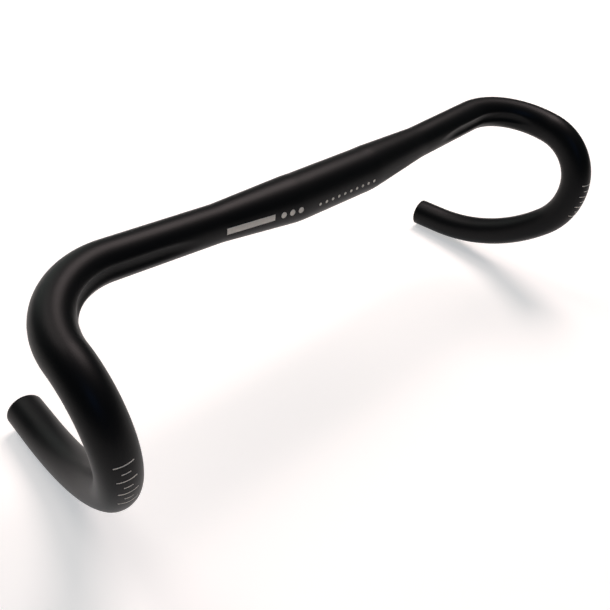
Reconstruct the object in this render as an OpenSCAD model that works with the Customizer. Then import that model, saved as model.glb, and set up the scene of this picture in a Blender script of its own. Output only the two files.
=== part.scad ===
// Drop handlebar for a road bike: one bent alloy tube, thick where the stem grips it and
// thinner at the tops and drops, with a channel for the brake and gear cables pressed into
// the inner side of each top bend, and both ends open.
// Frame: origin at the centre of the stem clamp, +X to the rider's right, +Y forward, +Z up.
// One half is drawn, run by run, from the clamp to the end of the drop, and then mirrored.

/* [Stem clamp] */
// outside diameter where the stem grips
clamp_d = 31.8; // [30:0.1:33]
// straight length at the full clamp diameter
clamp_length = 60; // [50:1:76]
// wall of the tube at the clamp
clamp_wall = 2.2; // [1.6:0.1:3]

/* [Tube] */
// outside diameter of the tops, hooks and drops
grip_d = 24; // [22:0.1:25]
// wall of the tube outside the clamp
grip_wall = 1.6; // [1.2:0.1:2.4]
// length over which the tube narrows beside the clamp
taper_length = 65; // [45:1:75]
// length of the soft start and of the soft end of the taper
taper_ease = 6; // [2:0.5:12]
// chamfer on both edges of each open end
end_chamfer = 0.4; // [0.1:0.1:0.8]

/* [Tops] */
// angle by which each top leans back from the clamp's axis
tops_back = 1.76; // [0.5:0.01:6]
// angle by which each top rises from the clamp's axis
tops_rise = 2.31; // [0.5:0.01:5]
// centre radius of the small bend beside the clamp
sweep_radius = 100; // [60:5:300]
// straight length of each top, from the taper to the top bend
top_length = 71; // [63:0.5:95]
// centre radius of the bend from the top into the hook
top_bend_radius = 52; // [46:0.5:62]

/* [Hooks] */
// angle below level at which the tube leaves the top bend
ramp_fall = 7.13; // [0:0.01:15]
// angle by which the hooks spread apart towards the front
toe_out = 3.03; // [0:0.01:8]
// angle by which the hooks lean together towards the bottom
lean_in = 3.39; // [0:0.01:8]
// centre radius of the upper arc of the hook
hook_upper_radius = 42.5; // [34:0.5:52]
// turn of the upper arc
hook_upper_turn = 75.28; // [60:0.01:85]
// centre radius of the middle arc
hook_middle_radius = 51.5; // [44:0.5:64]
// turn of the middle arc
hook_middle_turn = 49.98; // [44:0.01:64]
// centre radius of the long lower arc that the hand rests along
hook_lower_radius = 150; // [120:1:200]
// angle by which the end of the drop still falls towards the rider
drop_fall = 4.79; // [0:0.01:12]
// straight length of the end of the drop, which takes the end plug
drop_end_length = 23; // [15:0.5:35]

/* [Cable channel] */
// depth of the channel below the tube's surface
groove_depth = 2; // [1:0.1:3]
// radius of the channel's round floor
groove_radius = 5; // [3.5:0.1:6.5]
// angle of the channel above the plane of the top bend
groove_tilt = 9; // [0:1:20]
// length of full-depth channel along the top, before the bend
groove_lead = 25; // [10:1:32]
// turn of the top bend that has the full-depth channel
groove_turn = 52.8; // [30:0.1:56]
// radius on which the channel rises out of the top
groove_start_radius = 130; // [90:5:180]
// radius on which the channel rises out of the bend
groove_end_radius = 22; // [18:1:26]

/* [Hidden] */
$fn = 144;

satin_black = [0.07, 0.07, 0.075];
ease_steps = 8;
// Each bend is drawn this many degrees too long and then trimmed by the next run's plane.
spare_turn = 3;
trim_length = 30;

clamp_r = clamp_d / 2;
grip_r = grip_d / 2;
clamp_bore_r = clamp_r - clamp_wall;
grip_bore_r = grip_r - grip_wall;

// Directions that the tube has to reach: along the top, out of the top bend, and down the hook.
top_dir = [cos(tops_back) * cos(tops_rise), -sin(tops_back) * cos(tops_rise), sin(tops_rise)];
ramp_dir = [sin(toe_out), cos(toe_out) * cos(ramp_fall), -cos(toe_out) * sin(ramp_fall)];
hook_down = [-sin(lean_in), 0, -cos(lean_in)];

function unit(v) = v / norm(v);
function square_to(ahead, target) = unit(target - (target * ahead) * ahead);
// Angle by which one bend's plane is rolled about the tube from the plane of the bend before it.
function roll_between(ahead, inward, target) =
    atan2(target * cross(ahead, inward), target * inward);

sweep_turn = acos(top_dir.x);
top_bend_turn = acos(top_dir * ramp_dir);
hook_lower_turn = 180 - ramp_fall - hook_upper_turn - hook_middle_turn - drop_fall;

sweep_roll = roll_between([1, 0, 0], [0, 1, 0], top_dir);
sweep_inward = square_to([1, 0, 0], top_dir);
sweep_end_inward = cos(sweep_turn) * sweep_inward - [sin(sweep_turn), 0, 0];
top_roll = roll_between(top_dir, sweep_end_inward, ramp_dir);
top_bend_inward = square_to(top_dir, ramp_dir);
top_bend_end_inward = cos(top_bend_turn) * top_bend_inward - sin(top_bend_turn) * top_dir;
hook_roll = roll_between(ramp_dir, top_bend_end_inward, hook_down);

// The channel's floor is a round bar laid at this distance from the tube's centre line.
groove_offset = grip_r + groove_radius - groove_depth;
groove_inward = groove_offset * cos(groove_tilt);
groove_across = groove_offset * sin(groove_tilt);
// The bar lifts at each end of the channel, until it is clear of the tube.
groove_clearance = 0.4;
groove_lift = groove_depth + groove_clearance;
groove_start_turn = acos(1 - groove_lift / groove_start_radius);
groove_start_length = groove_start_radius * sin(groove_start_turn);
groove_bend_radius = top_bend_radius - groove_inward;
// Turn at which the tighter arc that leaves the bend has moved inward by the lift.
groove_end_turn = acos(
    (pow(groove_bend_radius - groove_lift, 2)
     - pow(groove_bend_radius - groove_end_radius, 2)
     - pow(groove_end_radius, 2))
    / (2 * groove_end_radius * (groove_bend_radius - groove_end_radius)));

// Each run below starts at the origin with X ahead along the tube and Y towards the centre of
// its bend. It draws its own tube and puts its children, the rest of the bar, at its end.

// A flat section, with its X away from the bend's centre, carried straight ahead.
module carried_straight(length) {
    translate([length, 0, 0])
        rotate([90, 0, -90])
            linear_extrude(length)
                children();
}

// The same section carried round a bend.
module carried_round(radius, turn) {
    translate([0, radius, 0])
        rotate([0, 0, -90])
            rotate_extrude(angle = turn)
                translate([radius, 0])
                    children();
}

module at_bend_end(radius, turn) {
    translate([0, radius, 0])
        rotate([0, 0, turn])
            translate([0, -radius, 0])
                children();
}

module past_bend_end(radius, turn) {
    at_bend_end(radius, turn)
        translate([0, -clamp_d, -clamp_d])
            cube([trim_length, 2 * clamp_d, 2 * clamp_d]);
}

module tube_section(outer_r, bore_r) {
    difference() {
        circle(outer_r);
        circle(bore_r);
    }
}

module straight_run(length) {
    carried_straight(length)
        tube_section(grip_r, grip_bore_r);
    translate([length, 0, 0])
        children();
}

module sweep_run() {
    difference() {
        carried_round(sweep_radius, sweep_turn + spare_turn)
            tube_section(clamp_r, clamp_bore_r);
        past_bend_end(sweep_radius, sweep_turn);
    }
    at_bend_end(sweep_radius, sweep_turn)
        children();
}

module hook_run(radius, turn) {
    difference() {
        carried_round(radius, turn + spare_turn)
            tube_section(grip_r, grip_bore_r);
        past_bend_end(radius, turn);
    }
    at_bend_end(radius, turn)
        children();
}

module half_clamp_run() {
    carried_straight(clamp_length / 2)
        tube_section(clamp_r, clamp_bore_r);
    translate([clamp_length / 2, 0, 0])
        children();
}

// The tube narrows in a straight cone, which a short parabola joins to the run at each side.
function taper_edge(wide_r, narrow_r) =
    let(slope = (wide_r - narrow_r) / (taper_length - taper_ease),
        steps = [for (i = [0:ease_steps]) taper_ease * i / ease_steps])
    concat(
        [for (x = steps) [wide_r - slope * x * x / (2 * taper_ease), x]],
        [for (i = [ease_steps:-1:0])
            [narrow_r + slope * steps[i] * steps[i] / (2 * taper_ease), taper_length - steps[i]]]);

function backwards(points) = [for (i = [len(points) - 1:-1:0]) points[i]];

module taper_run() {
    outer = taper_edge(clamp_r, grip_r);
    bore = taper_edge(clamp_bore_r, grip_bore_r);
    rotate([0, 90, 0])
        rotate_extrude()
            polygon(concat(outer, backwards(bore)));
    translate([taper_length, 0, 0])
        children();
}

module groove_circle(radius) {
    translate([-groove_inward, groove_across])
        circle(radius);
}

// The wall is pressed in, not thinned: the bore has a dent that follows the channel.
module grooved_section() {
    difference() {
        circle(grip_r);
        groove_circle(groove_radius);
        difference() {
            circle(grip_bore_r);
            groove_circle(groove_radius + grip_wall);
        }
    }
}

// The channel's round bar where it sinks into the top.
module groove_start_bar(radius) {
    translate([groove_start_length, groove_inward, groove_across])
        rotate([0, 180, 0])
            carried_round(groove_start_radius, groove_start_turn)
                circle(radius);
}

module groove_start_run() {
    difference() {
        carried_straight(groove_start_length)
            circle(grip_r);
        groove_start_bar(groove_radius);
        difference() {
            carried_straight(groove_start_length)
                circle(grip_bore_r);
            groove_start_bar(groove_radius + grip_wall);
        }
    }
    translate([groove_start_length, 0, 0])
        children();
}

module grooved_straight_run() {
    carried_straight(groove_lead)
        grooved_section();
    translate([groove_lead, 0, 0])
        children();
}

module grooved_bent_run() {
    difference() {
        carried_round(top_bend_radius, groove_turn + spare_turn)
            grooved_section();
        past_bend_end(top_bend_radius, groove_turn);
    }
    at_bend_end(top_bend_radius, groove_turn)
        children();
}

// The channel's round bar where it rises out of the bend.
module groove_end_bar(radius) {
    translate([0, groove_inward, groove_across])
        carried_round(groove_end_radius, groove_end_turn)
            circle(radius);
}

module groove_end_run() {
    turn = top_bend_turn - groove_turn;
    difference() {
        carried_round(top_bend_radius, turn + spare_turn)
            circle(grip_r);
        groove_end_bar(groove_radius);
        difference() {
            carried_round(top_bend_radius, turn + spare_turn)
                circle(grip_bore_r);
            groove_end_bar(groove_radius + grip_wall);
        }
        past_bend_end(top_bend_radius, turn);
    }
    at_bend_end(top_bend_radius, turn)
        children();
}

// Straight end of the drop, with both rims of its mouth chamfered.
module drop_end_run() {
    rotate([0, 90, 0])
        rotate_extrude()
            polygon([
                [grip_bore_r, 0],
                [grip_r, 0],
                [grip_r, drop_end_length - end_chamfer],
                [grip_r - end_chamfer, drop_end_length],
                [grip_bore_r + end_chamfer, drop_end_length],
                [grip_bore_r, drop_end_length - end_chamfer]
            ]);
}

module hook_runs() {
    hook_run(hook_upper_radius, hook_upper_turn)
        hook_run(hook_middle_radius, hook_middle_turn)
            hook_run(hook_lower_radius, hook_lower_turn)
                drop_end_run();
}

module top_bend_runs() {
    grooved_bent_run()
        groove_end_run()
            children();
}

module top_runs() {
    straight_run(top_length - groove_lead - groove_start_length)
        groove_start_run()
            grooved_straight_run()
                children();
}

module half_bar() {
    half_clamp_run()
        rotate([sweep_roll, 0, 0])
            sweep_run()
                taper_run()
                    rotate([top_roll, 0, 0])
                        top_runs()
                            top_bend_runs()
                                rotate([hook_roll, 0, 0])
                                    hook_runs();
}

module drop_bar() {
    color(satin_black)
        union() {
            half_bar();
            mirror([1, 0, 0])
                half_bar();
        }
}

drop_bar();
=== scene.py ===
# %% [markdown]
# # A drop handlebar in satin black
# The object is one bent alloy tube: thick where the stem grips it, thinner at the tops, and
# curled into two hooks. The imported solid already has the true sizes. This lesson builds the
# skin that the eye sees over it: the same tube with the soft lips that a press leaves, the
# fine grain of blasted and anodised metal, and the printed marks.
#
# We start by loading the solid as a fixed frame, because whatever we build has to stay
# inside it.

# %% Load the fixed frame
import math
import bmesh
import bpy
from mathutils import Matrix, Vector


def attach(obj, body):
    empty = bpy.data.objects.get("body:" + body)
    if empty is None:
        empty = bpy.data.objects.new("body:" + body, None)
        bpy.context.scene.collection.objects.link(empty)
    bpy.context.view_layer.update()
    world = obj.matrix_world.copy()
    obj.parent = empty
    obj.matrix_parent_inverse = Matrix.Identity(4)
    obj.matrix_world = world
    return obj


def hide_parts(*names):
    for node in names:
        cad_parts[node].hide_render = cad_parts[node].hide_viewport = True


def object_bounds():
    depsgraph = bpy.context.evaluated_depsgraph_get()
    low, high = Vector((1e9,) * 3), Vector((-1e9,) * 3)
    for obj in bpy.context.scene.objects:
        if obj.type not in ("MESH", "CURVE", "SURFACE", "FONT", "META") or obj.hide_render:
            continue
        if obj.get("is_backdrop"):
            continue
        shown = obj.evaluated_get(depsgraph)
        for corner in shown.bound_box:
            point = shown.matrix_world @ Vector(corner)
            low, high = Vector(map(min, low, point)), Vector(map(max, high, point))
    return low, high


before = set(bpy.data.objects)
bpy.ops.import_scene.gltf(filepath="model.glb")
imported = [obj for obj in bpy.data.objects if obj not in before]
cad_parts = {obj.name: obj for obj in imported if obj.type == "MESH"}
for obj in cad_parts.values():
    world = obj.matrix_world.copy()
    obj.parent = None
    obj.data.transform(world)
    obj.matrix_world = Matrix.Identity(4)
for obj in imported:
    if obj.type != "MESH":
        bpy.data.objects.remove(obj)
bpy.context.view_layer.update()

# %% [markdown]
# ## The sizes
# Everything is in metres, in the solid's own frame: the origin is the middle of the stem
# clamp, X runs along it to the rider's right, Y points forward and Z up. Angles are written
# in degrees. These are the sizes and angles that the solid is drawn from, so the skin lies
# on it. Three things are the skin's own. The pressed channel ends about 11 degrees earlier
# in the top bend and its lips are rounded, as the real bar shows, and the edges of the two
# mouths are rounded where the solid has small chamfers.

# %% Sizes of the tube
MM = 0.001
CLAMP_R, CLAMP_BORE_R, CLAMP_HALF = 15.9 * MM, 13.7 * MM, 30 * MM
GRIP_R, GRIP_BORE_R = 12 * MM, 10.4 * MM
TAPER_LENGTH, TAPER_EASE = 65 * MM, 6 * MM
TOP_LENGTH, DROP_END_LENGTH = 71 * MM, 23 * MM
SWEEP_RADIUS, TOP_BEND_RADIUS = 100 * MM, 52 * MM
# The centre radius and the turn of each arc of the hook.
HOOK_BENDS = [(42.5 * MM, 75.28), (51.5 * MM, 49.98), (150 * MM, 42.82)]
EDGE_ROUND = 0.4 * MM
print("wall, mm:", round((CLAMP_R - CLAMP_BORE_R) / MM, 2), "at the clamp and",
      round((GRIP_R - GRIP_BORE_R) / MM, 2), "outside it")

# %% [markdown]
# The tube has to reach three directions: along the top, out of the top bend, and straight
# down where the hook's plane hangs. From two directions a bend follows by itself: its plane
# holds both, and its turn is the angle between them. That is how a bar is designed, with the
# bender working out the rolls afterwards.

# %% Directions that the tube has to reach
TOPS_BACK, TOPS_RISE = 1.76, 2.31
TOE_OUT, RAMP_FALL, LEAN_IN = 3.03, 7.13, 3.39
RIGHT = Vector((1, 0, 0))

def direction(x, y, z):
    return Vector((x, y, z)).normalized()

back, rise = math.radians(TOPS_BACK), math.radians(TOPS_RISE)
toe, fall, lean = (math.radians(a) for a in (TOE_OUT, RAMP_FALL, LEAN_IN))
TOP_DIR = direction(math.cos(back) * math.cos(rise), -math.sin(back) * math.cos(rise), math.sin(rise))
RAMP_DIR = direction(math.sin(toe), math.cos(toe) * math.cos(fall), -math.cos(toe) * math.sin(fall))
HOOK_DOWN = direction(-math.sin(lean), 0, -math.cos(lean))
print("sweep", round(math.degrees(TOP_DIR.angle(RIGHT)), 2), "degrees, top bend",
      round(math.degrees(TOP_DIR.angle(RAMP_DIR)), 2), "degrees")

# %% [markdown]
# ## Walking along the tube
# A skin over a bent tube is a row of rings. Each ring needs a place, the direction ahead,
# and two directions across the tube that don't spin as we walk, or the skin would twist.
# A small walker carries those along: it steps straight ahead, or it turns about a bend's
# axis with everything it carries. Where it stops it notes a station: the tube's two radii,
# and where the channel's round floor has its centre. Where there is no channel, that centre
# is a metre away, too far to touch the tube.

# %% A walker that carries its own frame
NO_CHANNEL = Vector((1, 0, 0))

def square_to(ahead, target):
    """The part of a direction that is square to ahead, as a direction."""
    return (target - target.dot(ahead) * ahead).normalized()

class Walker:
    def __init__(self):
        self.place, self.ahead = Vector((0, 0, 0)), RIGHT.copy()
        self.front, self.top = Vector((0, 1, 0)), Vector((0, 0, 1))
        self.run, self.stations = 0.0, []

    def note(self, outer_r, bore_r, channel=NO_CHANNEL):
        self.stations.append(dict(
            run=self.run, place=self.place.copy(), ahead=self.ahead.copy(),
            front=self.front.copy(), top=self.top.copy(),
            outer=outer_r, bore=bore_r, channel=channel))

    def straight(self, length, step, sizes):
        """Walks ahead. sizes turns the distance walked into what the station notes."""
        count = max(1, round(length / step))
        start, start_run = self.place.copy(), self.run
        for i in range(1, count + 1):
            self.place = start + self.ahead * length * i / count
            self.run = start_run + length * i / count
            self.note(*sizes(length * i / count))

    def bend(self, radius, turn, towards, step, sizes):
        """Walks round an arc. Returns the direction of the arc's centre, seen from its end."""
        inward = square_to(self.ahead, towards)
        axis, centre = self.ahead.cross(inward), self.place + radius * inward
        count = max(1, round(radius * math.radians(turn) / step))
        start, start_run = self.place.copy(), self.run
        carried = (self.ahead.copy(), self.front.copy(), self.top.copy())
        for i in range(1, count + 1):
            turned = math.radians(turn) * i / count
            spin = Matrix.Rotation(turned, 3, axis)
            self.place = centre + spin @ (start - centre)
            self.ahead, self.front, self.top = (spin @ v for v in carried)
            self.run = start_run + radius * turned
            self.note(*sizes(math.degrees(turned)))
        return spin @ inward

# %% [markdown]
# ## The pressed channel
# The cables run in a shallow channel on the front of each top and round the inside of the
# bend. A press rolls it in with a round tool, so its floor is part of a circle 5 mm in
# radius. At any station we only need that circle's centre, given across the tube: it stays
# 15 mm out where the channel is full, a little above the plane of the bend.

# %% Where the channel's round floor lies
CHANNEL_DEPTH, CHANNEL_RADIUS, CHANNEL_TILT = 2 * MM, 5 * MM, 9
CHANNEL_OUT = GRIP_R + CHANNEL_RADIUS - CHANNEL_DEPTH
CHANNEL_IN = CHANNEL_OUT * math.cos(math.radians(CHANNEL_TILT))
CHANNEL_UP = CHANNEL_OUT * math.sin(math.radians(CHANNEL_TILT))

def in_section(walker, way):
    """A way across the tube, as its parts along the walker's own front and top."""
    return Vector((way.dot(walker.front), way.dot(walker.top), 0))

def channel_centre(walker, inward_by):
    """The centre of the channel's floor, this far towards the inside of the top bend."""
    inward = square_to(walker.ahead, RAMP_DIR)
    upward = walker.ahead.cross(inward)
    return in_section(walker, inward * inward_by + upward * CHANNEL_UP)

print("channel's centre", round(CHANNEL_IN / MM, 2), "mm in and", round(CHANNEL_UP / MM, 2), "mm up")

# %% [markdown]
# Where the channel fades, its circle moves out of the tube on an arc. A pressed lip is soft,
# so the fading goes on until the circle has cleared the wall by the lip's width.

# %% How the channel fades at its two ends
LIP = 3 * MM
CHANNEL_START_RADIUS, CHANNEL_END_RADIUS = 130 * MM, 22 * MM
CHANNEL_LIFT = CHANNEL_DEPTH + LIP
start_turn = math.acos(1 - CHANNEL_LIFT / CHANNEL_START_RADIUS)
CHANNEL_START_LENGTH = CHANNEL_START_RADIUS * math.sin(start_turn)
CHANNEL_BEND_RADIUS = TOP_BEND_RADIUS - CHANNEL_IN

def lift_before(distance):
    """How far the channel's circle has moved out, this far before its full depth."""
    return CHANNEL_START_RADIUS - math.sqrt(CHANNEL_START_RADIUS ** 2 - distance ** 2)

def lift_after(degrees):
    """The same, this many degrees of bend after its full depth: the circle takes a tighter arc."""
    a, offset = math.radians(degrees), CHANNEL_BEND_RADIUS - CHANNEL_END_RADIUS
    reach = offset * math.cos(a) + math.sqrt(CHANNEL_END_RADIUS ** 2 - (offset * math.sin(a)) ** 2)
    return CHANNEL_BEND_RADIUS - reach

print("channel fades in over", round(CHANNEL_START_LENGTH / MM, 1), "mm; its lift 20 degrees past",
      "the full depth is", round(lift_after(20) / MM, 2), "mm")

# %% [markdown]
# Now the walk over the right half, run by run. First come the clamp, the small bend beside
# it and the taper, which is a straight cone with a short parabola at each end, so that it
# starts and stops softly. Steps are short where the shape changes quickly.

# %% Walk the clamp, the small bend and the taper
PLAIN_STEP, SWEEP_STEP, TAPER_STEP = 3 * MM, 1 * MM, 1.5 * MM

def clamp_sizes(distance):
    return CLAMP_R, CLAMP_BORE_R

def taper_share(distance):
    """0 at the wide end and 1 at the narrow end."""
    steep, left = 1 / (TAPER_LENGTH - TAPER_EASE), TAPER_LENGTH - distance
    if distance < TAPER_EASE:
        return steep * distance ** 2 / (2 * TAPER_EASE)
    if left < TAPER_EASE:
        return 1 - steep * left ** 2 / (2 * TAPER_EASE)
    return steep * (distance - TAPER_EASE / 2)

def taper_sizes(distance):
    t = taper_share(distance)
    return CLAMP_R + (GRIP_R - CLAMP_R) * t, CLAMP_BORE_R + (GRIP_BORE_R - CLAMP_BORE_R) * t

walker = Walker()
walker.note(*clamp_sizes(0))
walker.straight(CLAMP_HALF, PLAIN_STEP, clamp_sizes)
sweep_turn = math.degrees(walker.ahead.angle(TOP_DIR))
walker.bend(SWEEP_RADIUS, sweep_turn, TOP_DIR, SWEEP_STEP, clamp_sizes)
walker.straight(TAPER_LENGTH, TAPER_STEP, taper_sizes)
print(len(walker.stations), "stations; the taper ends", round(walker.run / MM, 1), "mm along")

# %% [markdown]
# Next come the top, along which the channel fades in and then keeps its full depth, and the
# top bend, in which it fades out again.

# %% Walk the top and the top bend
FADE_STEP, CHANNEL_STEP, TOP_BEND_STEP = 0.9 * MM, 1.2 * MM, 0.95 * MM
CHANNEL_LEAD, CHANNEL_TURN = 25 * MM, 42

def grip_sizes(distance):
    return GRIP_R, GRIP_BORE_R

def fading_in(distance):
    lift = lift_before(CHANNEL_START_LENGTH - distance)
    return GRIP_R, GRIP_BORE_R, channel_centre(walker, CHANNEL_IN + lift)

def full_depth(distance):
    return GRIP_R, GRIP_BORE_R, channel_centre(walker, CHANNEL_IN)

walker.straight(TOP_LENGTH - CHANNEL_LEAD - CHANNEL_START_LENGTH, PLAIN_STEP, grip_sizes)
walker.straight(CHANNEL_START_LENGTH, FADE_STEP, fading_in)
walker.straight(CHANNEL_LEAD, CHANNEL_STEP, full_depth)

top_bend_turn = math.degrees(walker.ahead.angle(RAMP_DIR))
channel_there = channel_centre(walker, CHANNEL_IN)
inward_there = in_section(walker, square_to(walker.ahead, RAMP_DIR))

def fading_out(turned):
    lift = 0 if turned <= CHANNEL_TURN else lift_after(turned - CHANNEL_TURN)
    return GRIP_R, GRIP_BORE_R, channel_there + inward_there * lift

walker.bend(TOP_BEND_RADIUS, top_bend_turn, RAMP_DIR, TOP_BEND_STEP, fading_out)
print(len(walker.stations), "stations; the top bend ends", round(walker.run / MM, 1), "mm along")

# %% [markdown]
# Last come the three arcs of the hook and the straight end. The first arc turns down into
# the hook's plane, and the others go on turning in that plane.

# %% Walk the hook and the drop end
HOOK_STEP = 1.4 * MM
HOOK_START = walker.run
inward = HOOK_DOWN
for bend_radius, bend_turn in HOOK_BENDS:
    inward = walker.bend(bend_radius, bend_turn, inward, HOOK_STEP, grip_sizes)
walker.straight(DROP_END_LENGTH, PLAIN_STEP, grip_sizes)
right_half = walker.stations
print(len(right_half), "stations; the centre line is", round(2000 * walker.run), "mm long; mouth at",
      [round(1000 * x, 2) for x in walker.place])

# %% [markdown]
# The left half is the mirror image. Mirroring the stations, rather than the finished skin,
# keeps one continuous row of rings from mouth to mouth, so there is no seam at the middle.
# The wall needs an inside too: the row of rings goes along the outside from the left mouth
# to the right, turns in over the rim, comes back along the bore and turns out again, and so
# closes.

# %% Mirror the stations
def flipped(v):
    return Vector((-v.x, v.y, v.z))

def mirrored(s):
    return dict(s, run=-s["run"], place=flipped(s["place"]), ahead=-flipped(s["ahead"]),
                front=flipped(s["front"]), top=flipped(s["top"]))

whole = [mirrored(s) for s in reversed(right_half[1:])] + right_half
print(len(whole), "stations from mouth to mouth")

# %% Close the profile
BORE_FLOOR = CHANNEL_RADIUS + GRIP_R - GRIP_BORE_R
RIM_ANGLES = [math.radians(a) for a in (0, 30, 60, 90)]

def ring(s, radius, floor, along=0.0):
    return dict(s, place=s["place"] + s["ahead"] * along, radius=radius, floor=floor)

def rim(s, outwards):
    """Rings over a square-cut mouth whose two edges are rounded by EDGE_ROUND."""
    shift = [outwards * EDGE_ROUND * (math.sin(a) - 1) for a in RIM_ANGLES]
    cut = [EDGE_ROUND * (1 - math.cos(a)) for a in RIM_ANGLES]
    outside = [ring(s, s["outer"] - c, CHANNEL_RADIUS, d) for c, d in zip(cut, shift)]
    inside = [ring(s, s["bore"] + c, CHANNEL_RADIUS, d) for c, d in zip(cut, shift)]
    return outside + inside[::-1]

profile = [ring(s, s["outer"], CHANNEL_RADIUS) for s in whole[1:-1]] + rim(whole[-1], 1)
profile += [ring(s, s["bore"], BORE_FLOOR) for s in whole[-2:0:-2]] + rim(whole[0], -1)[::-1]
profile.append(profile[0])
print(len(profile), "rings in the closed profile")

# %% [markdown]
# ## Handing the stations to Geometry Nodes
# Geometry Nodes can read any value stored on a mesh's points. So the stations become a mesh
# of bare points, each with its directions and sizes as named attributes. Nothing of it is
# ever seen: it is the recipe that the node tree reads.

# %% Stations as points with named attributes
def points_object(name, stations, vectors, numbers, chain=False):
    """Points at the stations' places. chain joins each to the next by an edge."""
    mesh = bpy.data.meshes.new(name)
    edges = [(i, i + 1) for i in range(len(stations) - 1)] if chain else []
    mesh.from_pydata([s["place"] for s in stations], edges, [])
    for key in vectors:
        layer = mesh.attributes.new(key, "FLOAT_VECTOR", "POINT")
        layer.data.foreach_set("vector", [c for s in stations for c in s[key]])
    for key in numbers:
        layer = mesh.attributes.new(key, "FLOAT", "POINT")
        layer.data.foreach_set("value", [s[key] for s in stations])
    made = bpy.data.objects.new(name, mesh)
    bpy.context.scene.collection.objects.link(made)
    return made

tube_points = points_object("bar_tube", profile, ("front", "top", "channel"), ("radius", "floor"))
print("points:", len(tube_points.data.vertices), "with", [a.name for a in tube_points.data.attributes])

# %% [markdown]
# Two small helpers keep every node tree readable. One adds a node with its settings and its
# links in one statement. The other starts a tree with named inputs.

# %% Helpers for node trees
def add(tree, kind, inputs=None, **settings):
    """Adds a node. An input is a value, a socket, or a node that gives its first output."""
    node = tree.nodes.new(kind)
    for key, value in settings.items():
        setattr(node, key, value)
    for key, value in (inputs or {}).items():
        if isinstance(value, bpy.types.Node):
            value = value.outputs[0]
        if isinstance(value, bpy.types.NodeSocket):
            tree.links.new(value, node.inputs[key])
        else:
            node.inputs[key].default_value = value
    return node

def geometry_tree(name, **wanted):
    """A tree with one geometry in and out. wanted gives each further input's type and value."""
    tree = bpy.data.node_groups.new(name, "GeometryNodeTree")
    tree.interface.new_socket("Geometry", in_out="INPUT", socket_type="NodeSocketGeometry")
    tree.interface.new_socket("Geometry", in_out="OUTPUT", socket_type="NodeSocketGeometry")
    for label, (kind, value) in wanted.items():
        socket = tree.interface.new_socket(label, in_out="INPUT", socket_type="NodeSocket" + kind)
        if value is not None:
            socket.default_value = value
    return tree, add(tree, "NodeGroupInput").outputs

# %% [markdown]
# ## The skin's rule
# Curve to Mesh would sweep one profile along the centre line, but here the profile itself
# changes as the channel comes and goes. So the tree starts from a plain open cylinder with
# one ring for each station, and moves every point. A point's height in the cylinder says
# which station it belongs to, and its angle says where it sits round the tube. Points are
# gathered a little towards the channel, where the shape needs them.

# %% Tree for the tube's skin
tree, given = geometry_tree(
    "tube_skin", Segments=("Int", 72), Lip=("Float", LIP), Gather=("Float", 0.35),
    Channel_angle=("Float", 0.0), Finish=("Material", None))
size = add(tree, "GeometryNodeAttributeDomainSize", {0: given["Geometry"]})
last = add(tree, "ShaderNodeMath", {0: size.outputs["Point Count"], 1: 1.0}, operation="SUBTRACT")
shell = add(tree, "GeometryNodeMeshCylinder", {
    "Vertices": given["Segments"], "Side Segments": last, "Radius": 1.0, "Depth": last},
    fill_type="NONE")

position = add(tree, "GeometryNodeInputPosition")
spot = add(tree, "ShaderNodeSeparateXYZ", {0: position})
half = add(tree, "ShaderNodeMath", {0: last, 1: 0.5}, operation="MULTIPLY")
level = add(tree, "ShaderNodeMath", {0: spot.outputs["Z"], 1: half}, operation="ADD")
station = add(tree, "ShaderNodeMath", {0: level}, operation="ROUND")

even = add(tree, "ShaderNodeMath", {0: spot.outputs["Y"], 1: spot.outputs["X"]}, operation="ARCTAN2")
apart = add(tree, "ShaderNodeMath", {0: even, 1: given["Channel_angle"]}, operation="SUBTRACT")
wave = add(tree, "ShaderNodeMath", {0: apart}, operation="SINE")
pull = add(tree, "ShaderNodeMath", {0: given["Gather"], 1: wave}, operation="MULTIPLY")
angle = add(tree, "ShaderNodeMath", {0: even, 1: pull}, operation="SUBTRACT")
print("tube_skin has", len(tree.nodes), "nodes so far")

# %% [markdown]
# Every point of a ring then looks up what its station has stored, by the station's number.

# %% What the station of each ring has stored
stored = {"position": ("FLOAT_VECTOR", position)}
for name, kind in (("front", "FLOAT_VECTOR"), ("top", "FLOAT_VECTOR"), ("channel", "FLOAT_VECTOR"),
                   ("radius", "FLOAT"), ("floor", "FLOAT")):
    attribute = add(tree, "GeometryNodeInputNamedAttribute", {"Name": name}, data_type=kind)
    stored[name] = (kind, attribute)

there = {}
for name, (kind, field) in stored.items():
    there[name] = add(tree, "GeometryNodeSampleIndex", {
        "Geometry": given["Geometry"], "Value": field, "Index": station}, data_type=kind)
print("a ring reads", list(there))

# %% [markdown]
# A ray from the tube's centre finds either the round wall or the channel's floor, whichever
# is nearer. Where a ray meets a circle follows from the distance along the ray to the point
# beside the circle's centre, less half of the chord. Where the ray misses the circle, the
# number under the root is below zero, and the wall is taken. A smooth minimum rounds the lip
# between the two, as pressing leaves it.

# %% Ray from the centre to the wall or the channel
cosine = add(tree, "ShaderNodeMath", {0: angle}, operation="COSINE")
sine = add(tree, "ShaderNodeMath", {0: angle}, operation="SINE")
ray = add(tree, "ShaderNodeCombineXYZ", {"X": cosine, "Y": sine})
wall, floor_r, channel = there["radius"], there["floor"], there["channel"]

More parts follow.
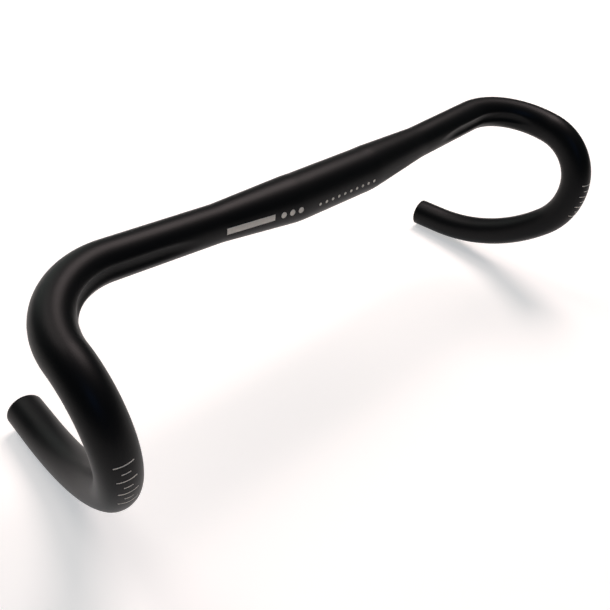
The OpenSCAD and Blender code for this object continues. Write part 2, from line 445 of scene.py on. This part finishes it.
beside = add(tree, "ShaderNodeVectorMath", {0: ray, 1: channel}, operation="DOT_PRODUCT")
beside = beside.outputs["Value"]
away_square = add(tree, "ShaderNodeVectorMath", {0: channel, 1: channel}, operation="DOT_PRODUCT")
away_square = away_square.outputs["Value"]
floor_square = add(tree, "ShaderNodeMath", {0: floor_r, 1: floor_r}, operation="MULTIPLY")
beyond = add(tree, "ShaderNodeMath", {0: away_square, 1: floor_square}, operation="SUBTRACT")
beside_square = add(tree, "ShaderNodeMath", {0: beside, 1: beside}, operation="MULTIPLY")
under_root = add(tree, "ShaderNodeMath", {0: beside_square, 1: beyond}, operation="SUBTRACT")
safe = add(tree, "ShaderNodeMath", {0: under_root, 1: 0.0}, operation="MAXIMUM")
half_chord = add(tree, "ShaderNodeMath", {0: safe}, operation="SQRT")
to_floor = add(tree, "ShaderNodeMath", {0: beside, 1: half_chord}, operation="SUBTRACT")

soft = add(tree, "ShaderNodeMath", {0: wall, 1: to_floor, 2: given["Lip"]}, operation="SMOOTH_MIN")
meets = add(tree, "ShaderNodeMath", {0: under_root, 1: 0.0}, operation="GREATER_THAN")
faces = add(tree, "ShaderNodeMath", {0: beside, 1: 0.0}, operation="GREATER_THAN")
hits = add(tree, "ShaderNodeMath", {0: meets, 1: faces}, operation="MULTIPLY")
reach = add(tree, "GeometryNodeSwitch", {"Switch": hits, "False": wall, "True": soft},
            input_type="FLOAT")
print("tube_skin has", len(tree.nodes), "nodes so far")

# %% [markdown]
# The ray's length and its two directions give each point its place. The first and the last
# ring then lie on each other, and merging them closes the skin.

# %% Place the points, close the skin and finish the tree
MERGE_WITHIN = 0.001 * MM
front_part = add(tree, "ShaderNodeVectorMath", {0: there["front"], "Scale": cosine}, operation="SCALE")
top_part = add(tree, "ShaderNodeVectorMath", {0: there["top"], "Scale": sine}, operation="SCALE")
way = add(tree, "ShaderNodeVectorMath", {0: front_part, 1: top_part}, operation="ADD")
outward = add(tree, "ShaderNodeVectorMath", {0: way, "Scale": reach}, operation="SCALE")
goal = add(tree, "ShaderNodeVectorMath", {0: there["position"], 1: outward}, operation="ADD")

skin = add(tree, "GeometryNodeSetPosition", {"Geometry": shell, "Position": goal})
skin = add(tree, "GeometryNodeMergeByDistance", {"Geometry": skin, "Distance": MERGE_WITHIN})
skin = add(tree, "GeometryNodeSetShadeSmooth", {0: skin})
skin = add(tree, "GeometryNodeRealizeInstances", {0: skin})
skin = add(tree, "GeometryNodeSetMaterial", {"Geometry": skin, "Material": given["Finish"]})
add(tree, "NodeGroupOutput", {"Geometry": skin})
skin_tree = tree
print("tube_skin has", len(tree.nodes), "nodes")

# %% [markdown]
# ## Black anodised aluminium
# The tube is blasted with fine grit, etched and dyed black while an oxide layer grows on it.
# Blasting gives the eye two things: the reflections are wide and soft, and at close range
# there is a faint grain. The black sits in the clear oxide, so the surface reflects like a
# hard glassy layer over black, with bright edges where we look along it. Hardly any light
# reaches the metal below and comes back, so the shader isn't metallic. The oxide's IOR is
# about 1.6. The real bar reflects less, seen straight on, than a clean film of that IOR
# would, so the specular level comes down until it matches.
# Colours are written as they are seen on a screen, and one function turns them to light.

# %% One function for colours
def hex_colour(code):
    def linear(c):
        return c / 12.92 if c <= 0.04045 else ((c + 0.055) / 1.055) ** 2.4
    return tuple(linear(int(code[i:i + 2], 16) / 255) for i in (1, 3, 5)) + (1.0,)

print("middle grey on a screen is", round(hex_colour("#808080")[0], 3), "of white light")

# %% [markdown]
# Grit of about 0.1 mm would leave pits far finer than a pixel here, so the grain is drawn at
# 0.7 mm, as coarse as it needs to show, and very shallow. Dye takes a little unevenly over
# centimetres, which changes the black by hardly a shade, and handling leaves the gloss
# slightly uneven at the same scale.

# %% Material for the tube
GRAIN, CLOUD, PIT_DEPTH = 0.7 * MM, 35 * MM, 0.05 * MM

def new_material(name):
    made = bpy.data.materials.new(name)
    made.use_nodes = True
    made.node_tree.nodes.clear()
    return made, made.node_tree

anodised, tree = new_material("black_anodised_aluminium")
place = add(tree, "ShaderNodeTexCoord").outputs["Object"]
grain = add(tree, "ShaderNodeTexNoise", {"Vector": place, "Scale": 1 / GRAIN, "Detail": 2.0})
cloud = add(tree, "ShaderNodeTexNoise", {"Vector": place, "Scale": 1 / CLOUD, "Detail": 3.0})
dye = add(tree, "ShaderNodeMix", {
    "Factor": cloud.outputs["Fac"], "A": hex_colour("#040608"), "B": hex_colour("#08090B")},
    data_type="RGBA")
gloss = add(tree, "ShaderNodeMapRange", {"Value": cloud.outputs["Fac"], "To Min": 0.40, "To Max": 0.44})
pits = add(tree, "ShaderNodeBump", {
    "Height": grain.outputs["Fac"], "Strength": 0.6, "Distance": PIT_DEPTH})
shader = add(tree, "ShaderNodeBsdfPrincipled", {
    "Base Color": dye.outputs["Result"], "Roughness": gloss, "IOR": 1.6,
    "Specular IOR Level": 0.1, "Normal": pits})
add(tree, "ShaderNodeOutputMaterial", {"Surface": shader})
print("material", anodised.name, "with", len(tree.nodes), "nodes")

# %% [markdown]
# Now the tree can run. The modifier's inputs are set by each socket's identifier, and the
# result is turned into a plain mesh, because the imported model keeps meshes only. We make
# every face point out, and count the open edges, of which there should be none.

# %% Run a tree and keep its mesh
def set_inputs(modifier, **values):
    for item in modifier.node_group.interface.items_tree:
        if item.item_type == "SOCKET" and item.in_out == "INPUT" and item.name in values:
            modifier[item.identifier] = values[item.name]

def keep_result(made, tree, name, **values):
    modifier = made.modifiers.new(tree.name, "NODES")
    modifier.node_group = tree
    set_inputs(modifier, **values)
    seen = made.evaluated_get(bpy.context.evaluated_depsgraph_get())
    mesh = bpy.data.meshes.new_from_object(seen)
    made.modifiers.remove(modifier)
    made.data, mesh.name, made.name = mesh, name, name
    shape = bmesh.new()
    shape.from_mesh(mesh)
    bmesh.ops.recalc_face_normals(shape, faces=shape.faces)
    if shape.calc_volume(signed=True) < 0:
        bmesh.ops.reverse_faces(shape, faces=shape.faces)
    shape.to_mesh(mesh)
    loose = sum(1 for e in shape.edges if len(e.link_faces) != 2)
    print(name, len(shape.faces), "faces,", loose, "open edges,",
          round(shape.calc_volume(signed=True) * 1e9), "mm3")
    shape.free()
    return made

channel_angle = math.atan2(channel_there.y, channel_there.x)
tube = keep_result(tube_points, skin_tree, "bar_tube", Channel_angle=channel_angle, Finish=anodised)

# %% [markdown]
# ## Printed marks
# Pale marks are printed on the tube. A scale on the front of each hook helps to set both
# brake levers at one height: seven lines, long and short by turns, about 5 mm apart on the
# outside of the curve, which is 4.1 mm along the centre line. The thick middle has a plain
# decoration of a bar and dots. All of it is screen print, a film of ink that you can just
# see standing on the metal. The marks could be a mask in the tube's material, but shapes of
# their own keep sharp edges at any distance, and have the film's thickness.
#
# A mark is easy to draw flat and hard to draw on a bent, tapering tube. So we draw every
# mark flat, as a thin slab or disc, and let one tree wrap them all: the distance along the
# bar picks the place on the centre line, and the distance across becomes an angle. Half of
# a slab's or disc's thickness sinks into the metal, and half stands on it.

# %% Marks as points: what, where, which way round, what size
DISC, SLAB, INK = 0, 1, 0.08 * MM
marks = []

def mark(kind, run, angle, along, wide):
    marks.append(dict(kind=kind, place=Vector((run, 0, 0)), angle=angle,
                      size=Vector((along, wide, INK))))

# %% [markdown]
# The lever scale lies where the hook's front is steepest, which is where a lever is clamped.
# Both scales sit a little to the rider's right of the hook's middle line.

# %% The two lever scales
LINES, SCALE_START, SCALE_STEP = 7, HOOK_START + 52.5 * MM, 4.1 * MM
LONG_LINE, SHORT_LINE, LINE_WIDTH = 10.9 * MM, 4.8 * MM, 0.5 * MM
SCALE_ASIDE = math.radians(9.5)

def nearest(run):
    return min(whole, key=lambda s: abs(s["run"] - run))

def around(s, way):
    """Angle round the tube of a direction, at a station."""
    return math.atan2(way.dot(s["top"]), way.dot(s["front"]))

for side in (1, -1):
    for i in range(LINES):
        run = side * (SCALE_START + i * SCALE_STEP)
        s = nearest(run)
        front_way = s["ahead"].cross(RIGHT).normalized()
        front_way *= 1 if front_way.y > 0 else -1
        way = front_way * math.cos(SCALE_ASIDE) + RIGHT * math.sin(SCALE_ASIDE)
        mark(SLAB, run, around(s, way), LINE_WIDTH, SHORT_LINE if i % 2 else LONG_LINE)
print(len(marks), "lever marks")

# %% [markdown]
# The decoration is our own: a plain bar with three dots after it on one side, and a row of
# small dots on the other, in the same pale ink. Places along the bar, steps and sizes are in
# millimetres, and a turn round the bar is in degrees up from the front.

# %% Bar and dots on the thick middle
def row_of_dots(count, first, step, turn, size):
    for i in range(count):
        mark(DISC, (first - step * i) * MM, math.radians(turn), size * MM, size * MM)

BAR_RUN, BAR_TURN, BAR_LENGTH, BAR_WIDTH = 80 * MM, math.radians(4), 36 * MM, 4.2 * MM
mark(SLAB, BAR_RUN, BAR_TURN, BAR_LENGTH, BAR_WIDTH)
row_of_dots(count=3, first=55, step=7, turn=3, size=4.2)
row_of_dots(count=10, first=24, step=6, turn=-1, size=2.2)
print(len(marks), "marks in all")

# %% [markdown]
# The tree puts a slab or a disc of unit size on each point, scales it, and makes the copies
# real, because only a real point can be moved by itself. Geometry to Instance counts its
# shapes from the one that was linked last, which is why the disc is 0 and the slab is 1.

# %% Tree that lays the marks out flat
tree, given = geometry_tree("wrap_marks", Centre_line=("Object", None),
                            Half_length=("Float", 0.5), Ink=("Material", None))
slab = add(tree, "GeometryNodeMeshCube", {
    "Size": (1, 1, 1), "Vertices X": 24, "Vertices Y": 16, "Vertices Z": 2})
disc = add(tree, "GeometryNodeMeshCylinder", {"Vertices": 20, "Radius": 0.5, "Depth": 1.0},
           fill_type="TRIANGLE_FAN")
shapes = add(tree, "GeometryNodeGeometryToInstance", {0: slab})
tree.links.new(disc.outputs["Mesh"], shapes.inputs[0])
which = add(tree, "GeometryNodeInputNamedAttribute", {"Name": "kind"}, data_type="INT")
scale = add(tree, "GeometryNodeInputNamedAttribute", {"Name": "size"}, data_type="FLOAT_VECTOR")
laid = add(tree, "GeometryNodeInstanceOnPoints", {
    "Points": given["Geometry"], "Instance": shapes, "Pick Instance": True,
    "Instance Index": which, "Scale": scale})
laid = add(tree, "GeometryNodeRealizeInstances", {0: laid})
print("wrap_marks has", len(tree.nodes), "nodes so far")

# %% [markdown]
# The stations, joined into a chain, are the centre line. A point's X says how far along it
# to look, and there the line gives the tube's radius and the two directions across it. X
# counts from the middle and the line from its left end, so half the length is added.

# %% What the centre line gives at a point
line = points_object("bar_line", whole, ("front", "top"), ("outer",), chain=True)
line_read = add(tree, "GeometryNodeObjectInfo", {"Object": given["Centre_line"]})
path = add(tree, "GeometryNodeMeshToCurve", {0: line_read.outputs["Geometry"]})
flat = add(tree, "ShaderNodeSeparateXYZ", {0: add(tree, "GeometryNodeInputPosition")})
length_there = add(tree, "ShaderNodeMath", {0: flat.outputs["X"], 1: given["Half_length"]},
                   operation="ADD")
on_line = {}
for name, kind in (("outer", "FLOAT"), ("front", "FLOAT_VECTOR"), ("top", "FLOAT_VECTOR")):
    attribute = add(tree, "GeometryNodeInputNamedAttribute", {"Name": name}, data_type=kind)
    on_line[name] = add(tree, "GeometryNodeSampleCurve", {
        "Curves": path, "Value": attribute, "Length": length_there}, data_type=kind, mode="LENGTH")
print("the centre line gives", list(on_line))

# %% [markdown]
# Now the wrapping itself. A point's Y is its distance from the middle of its mark, measured
# round the tube, so Y divided by the radius is an angle. Its Z is its height over the metal.
# Angle and height together say how far out from the centre line it goes, and which way.

# %% Angle, height and place of a wrapped mark
radius_there = on_line["outer"].outputs["Value"]
middle = add(tree, "GeometryNodeInputNamedAttribute", {"Name": "angle"}, data_type="FLOAT")
swing = add(tree, "ShaderNodeMath", {0: flat.outputs["Y"], 1: radius_there}, operation="DIVIDE")
turned = add(tree, "ShaderNodeMath", {0: middle, 1: swing}, operation="ADD")
height = add(tree, "ShaderNodeMath", {0: radius_there, 1: flat.outputs["Z"]}, operation="ADD")

parts = []
for name, operation in (("front", "COSINE"), ("top", "SINE")):
    share = add(tree, "ShaderNodeMath", {0: turned}, operation=operation)
    length = add(tree, "ShaderNodeMath", {0: height, 1: share}, operation="MULTIPLY")
    parts.append(add(tree, "ShaderNodeVectorMath", {
        0: on_line[name].outputs["Value"], "Scale": length}, operation="SCALE"))
out_from_line = add(tree, "ShaderNodeVectorMath", {0: parts[0], 1: parts[1]}, operation="ADD")
on_centre = on_line["outer"].outputs["Position"]
goal = add(tree, "ShaderNodeVectorMath", {0: on_centre, 1: out_from_line}, operation="ADD")

laid = add(tree, "GeometryNodeSetPosition", {"Geometry": laid, "Position": goal})
laid = add(tree, "GeometryNodeSetMaterial", {"Geometry": laid, "Material": given["Ink"]})
add(tree, "NodeGroupOutput", {"Geometry": laid})
wrap_tree = tree
print("wrap_marks has", len(tree.nodes), "nodes")

# %% [markdown]
# The ink is a matt pale grey, a little warm. It is rubbed thin in places, which a fine noise
# gives by letting the grey darken slightly.

# %% Material for the ink
RUB = 1.2 * MM
ink, tree = new_material("matt_grey_screen_print")
place = add(tree, "ShaderNodeTexCoord").outputs["Object"]
rub = add(tree, "ShaderNodeTexNoise", {"Vector": place, "Scale": 1 / RUB, "Detail": 3.0})
tone = add(tree, "ShaderNodeMix", {
    "Factor": rub.outputs["Fac"], "A": hex_colour("#FAF6EC"), "B": hex_colour("#E6E0D2")},
    data_type="RGBA")
shader = add(tree, "ShaderNodeBsdfPrincipled", {"Base Color": tone.outputs["Result"], "Roughness": 0.6})
add(tree, "ShaderNodeOutputMaterial", {"Surface": shader})
print("material", ink.name, "with", len(tree.nodes), "nodes")

# %% [markdown]
# The second tree has all that it needs: the marks as points, the centre line and the ink.
# The centre line has done its work after that, and is removed.

# %% Wrap the marks
mark_points = points_object("bar_marks", marks, ("size",), ("angle",))
kinds = mark_points.data.attributes.new("kind", "INT", "POINT")
kinds.data.foreach_set("value", [m["kind"] for m in marks])
printed = keep_result(mark_points, wrap_tree, "printed_marks", Centre_line=line,
                      Half_length=walker.run, Ink=ink)
bpy.data.objects.remove(line)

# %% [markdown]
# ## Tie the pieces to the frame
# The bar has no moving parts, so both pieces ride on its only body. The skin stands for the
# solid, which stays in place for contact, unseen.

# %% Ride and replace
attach(tube, "root")
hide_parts("drop_bar")
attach(printed, "root")
print("pieces:", tube.name, printed.name)

# %% [markdown]
# ## Floor and light
# A plain white floor lies just under the lowest points of the hooks. Black satin shows
# nothing but what it reflects, so the light makes the picture. The floor is paper that takes
# the bar's shadow, and it adds some white of its own for the eye and for reflections only, so
# that it looks white while the lamps stay at a plain level.

# %% Floor
FLOOR_GAP, FLOOR_HALF, FLOOR_GLOW = 0.3 * MM, 4.0, 0.48
low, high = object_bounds()
floor_z = low.z - FLOOR_GAP
mesh = bpy.data.meshes.new("floor")
mesh.from_pydata([(x * FLOOR_HALF, y * FLOOR_HALF, floor_z)
                  for x, y in ((-1, -1), (1, -1), (1, 1), (-1, 1))], [], [(0, 1, 2, 3)])
floor = bpy.data.objects.new("floor", mesh)
bpy.context.scene.collection.objects.link(floor)

paper, tree = new_material("white_paper_floor")
paper_lit = add(tree, "ShaderNodeBsdfDiffuse", {"Color": hex_colour("#E7E5E1")})
path = add(tree, "ShaderNodeLightPath").outputs
mirror = add(tree, "ShaderNodeMath", {0: path["Is Glossy Ray"], 1: path["Is Transmission Ray"]},
             operation="MAXIMUM")
seen = add(tree, "ShaderNodeMath", {0: path["Is Camera Ray"], 1: mirror}, operation="MAXIMUM")
glow = add(tree, "ShaderNodeMath", {0: seen, 1: FLOOR_GLOW}, operation="MULTIPLY")
white = add(tree, "ShaderNodeEmission", {"Strength": glow})
shader = add(tree, "ShaderNodeAddShader", {0: paper_lit, 1: white})
add(tree, "ShaderNodeOutputMaterial", {"Surface": shader})
mesh.materials.append(paper)
floor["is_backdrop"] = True
print("floor at", round(floor_z / MM, 1), "mm")

# %% [markdown]
# Four round panels light it. The key stands high behind the bar on the rider's left, and
# draws the long soft highlight on the tops. The rear panel carries it round the bend. A
# broad, dim panel lower down at the back gives the upper edges their even sheen, and a small
# bluish one in front makes a cool glint on the hook. The world is nearly dark, which keeps
# the middle of the tube black.

# %% World and lamps
PANEL_DISTANCE = 3.0

def panel(name, azimuth, height, half_angle, radiance, colour):
    """A round soft panel: the bar sees it at these angles in degrees, this half angle wide."""
    a, h = math.radians(azimuth), math.radians(height)
    way = Vector((math.sin(a) * math.cos(h), math.cos(a) * math.cos(h), math.sin(h)))
    lamp = bpy.data.lights.new(name, "AREA")
    lamp.shape, lamp.size = "DISK", 2 * PANEL_DISTANCE * math.tan(math.radians(half_angle))
    # A flat lamp's power is its radiance times its area times pi.
    lamp.energy = radiance * (math.pi * lamp.size / 2) ** 2
    lamp.color = hex_colour(colour)[:3]
    made = bpy.data.objects.new(name, lamp)
    made.location = PANEL_DISTANCE * way
    made.rotation_euler = (-way).to_track_quat("-Z", "Y").to_euler()
    bpy.context.scene.collection.objects.link(made)

world = bpy.data.worlds.new("studio")
bpy.context.scene.world = world
world.use_nodes = True
world.node_tree.nodes.clear()
sky = add(world.node_tree, "ShaderNodeBackground", {"Color": hex_colour("#E2F0EC"), "Strength": 0.09})
add(world.node_tree, "ShaderNodeOutputWorld", {"Surface": sky})

panel("key_panel", azimuth=-122, height=58, half_angle=16, radiance=9.2, colour="#FFEEEC")
panel("rear_panel", azimuth=171, height=56, half_angle=13, radiance=3.9, colour="#FFF0EE")
panel("low_panel", azimuth=180, height=24, half_angle=20, radiance=1.0, colour="#F4FFF8")
panel("glint_panel", azimuth=30, height=46, half_angle=5, radiance=6.0, colour="#6FA8FF")
print("lamps:", [lamp.name for lamp in bpy.data.lights])

# %% [markdown]
# ## Camera
# The camera's place, aim, roll and focal length were solved from the photograph's outline,
# with the bar's true sizes. It sits in front of the bar on its right, and looks down at it.
# The image is 610 pixels wide and high, and the focal length and the lens's centre are in
# those pixels.

# %% Camera
IMAGE, SENSOR = 610, 36.0
FOCAL, CENTRE_X, CENTRE_Y = 723.875, 318.32, 310.325
YAW, DIP, ROLL = 231.1193, 39.3421, -8.9534
CAMERA_PLACE = (0.337357, 0.280592, 0.246877)

yaw, dip, roll = (math.radians(a) for a in (YAW, DIP, ROLL))
ahead = Vector((math.sin(yaw) * math.cos(dip), math.cos(yaw) * math.cos(dip), -math.sin(dip)))
level_right = ahead.cross(Vector((0, 0, 1))).normalized()
level_down = ahead.cross(level_right)
right = math.cos(roll) * level_right + math.sin(roll) * level_down
down = -math.sin(roll) * level_right + math.cos(roll) * level_down

lens = bpy.data.cameras.new("camera")
lens.sensor_width = SENSOR
lens.lens = SENSOR * FOCAL / IMAGE
lens.shift_x = (IMAGE / 2 - CENTRE_X) / IMAGE
lens.shift_y = (CENTRE_Y - IMAGE / 2) / IMAGE
lens.clip_start = 0.01
camera = bpy.data.objects.new("camera", lens)
bpy.context.scene.collection.objects.link(camera)
turn = Matrix((right, -down, -ahead)).transposed().to_4x4()
camera.matrix_world = Matrix.Translation(CAMERA_PLACE) @ turn
bpy.context.scene.camera = camera
bpy.context.scene.view_settings.view_transform = "Standard"
print("lens", round(lens.lens, 2), "mm, shift", round(lens.shift_x, 4), round(lens.shift_y, 4))

# %% [markdown]
# ## Check the size and finish
# The skin's box is printed.

# %% Print the skin's box
low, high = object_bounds()
print("skin's box, mm:", [round(1000 * x, 1) for x in (*low, *high)])
